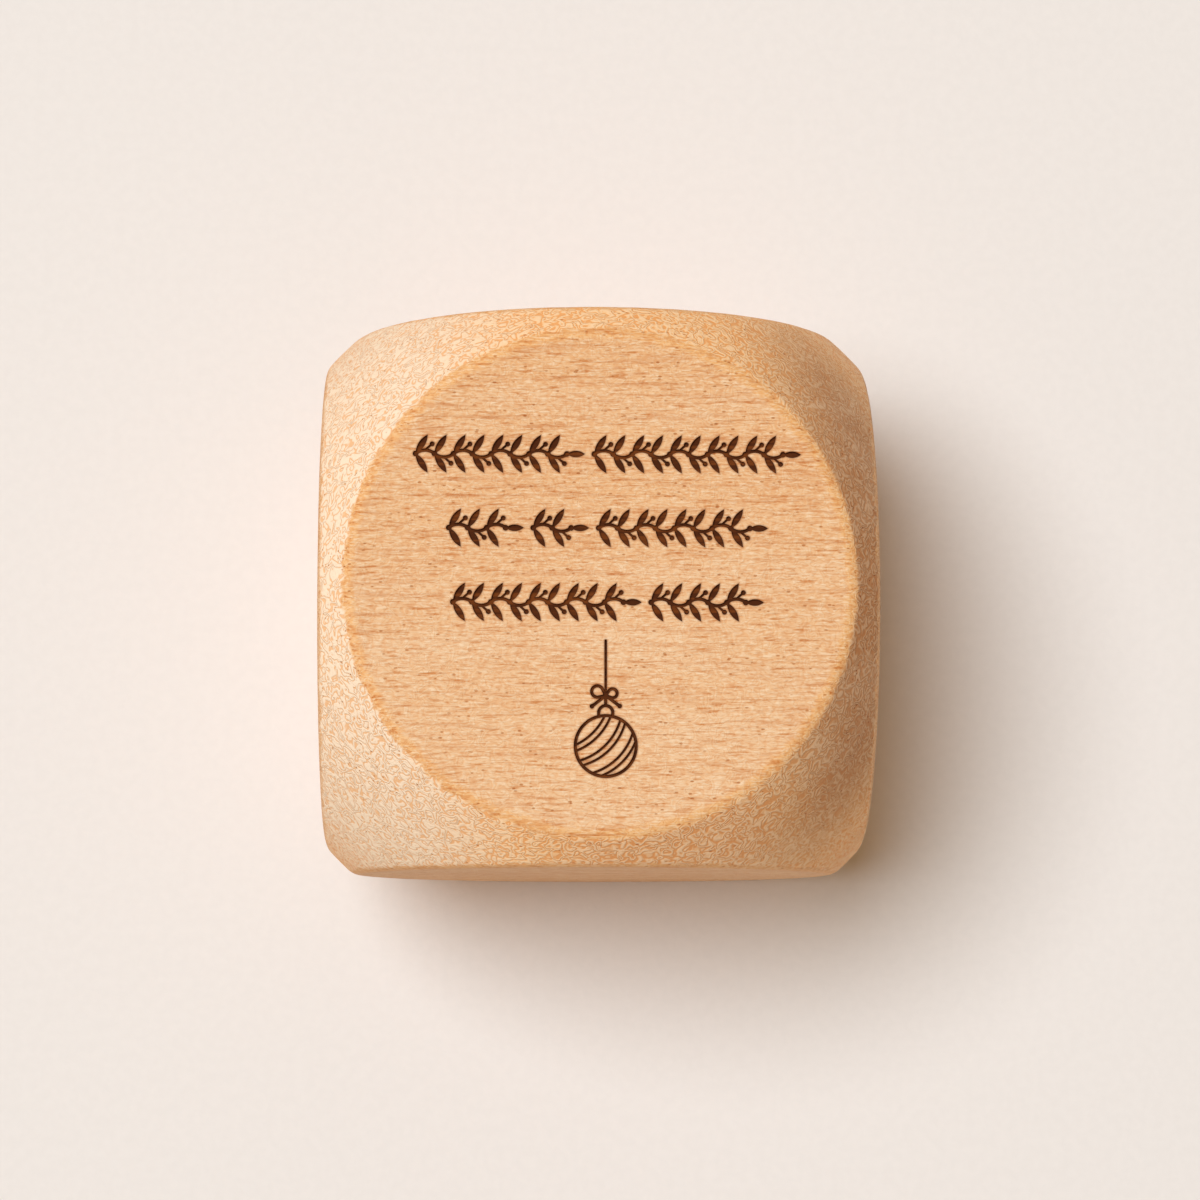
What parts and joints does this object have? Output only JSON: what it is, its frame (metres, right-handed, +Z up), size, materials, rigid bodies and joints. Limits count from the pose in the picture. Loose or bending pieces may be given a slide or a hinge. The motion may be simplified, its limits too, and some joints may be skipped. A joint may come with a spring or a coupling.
{
  "type": "wooden game die",
  "caption": "Wooden game die ground from a cube to a ball with round flat faces, its top burnt with leafy garlands and a hanging tree bauble.",
  "frame": {"origin": "centre of the bottom disc, where the die rests", "axes": "+Z up through the burnt top disc, +Y towards the top of the burnt drawing, +X to its right and along the wood's grain"},
  "size_m": [0.03, 0.03, 0.03],
  "materials": {
    "beech": "sanded, bare"
  },
  "bodies": {
    "root": {"die_body": "beech"}
  },
  "joints": []
}
